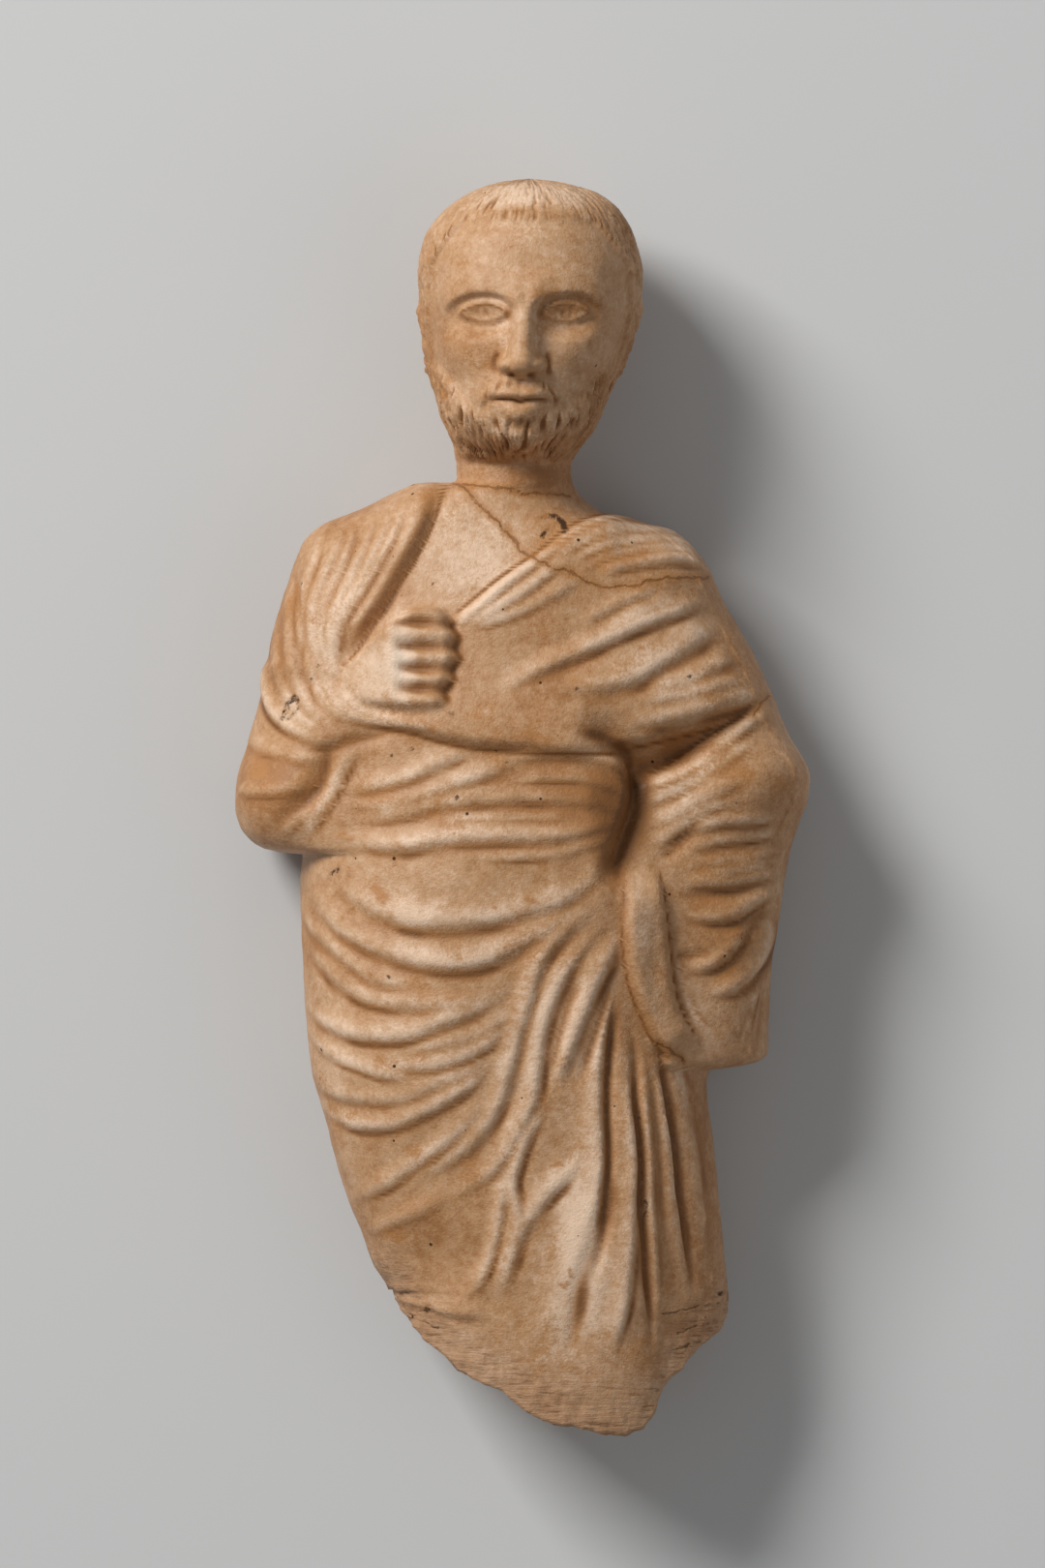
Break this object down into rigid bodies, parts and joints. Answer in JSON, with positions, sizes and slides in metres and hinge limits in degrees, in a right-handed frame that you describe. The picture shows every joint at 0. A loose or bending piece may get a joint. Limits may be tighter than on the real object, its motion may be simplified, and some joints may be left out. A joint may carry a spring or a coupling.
{
  "type": "marble togatus statue",
  "caption": "Broken marble statue of a bearded man in a toga, one fist at the chest and one hand on the hip, lying on its flat back.",
  "frame": {"origin": "under the middle of the figure's length and width, on the surface that it lies on", "axes": "+Y from the break to the crown, +Z out of the chest, away from the surface below, +X to the figure's own left"},
  "size_m": [0.2986, 0.6493, 0.1418],
  "materials": {
    "marble": "worn satin marble, cream on the ridges, brown patina in the folds"
  },
  "bodies": {
    "root": {"togatus_statue": "marble"}
  },
  "joints": []
}
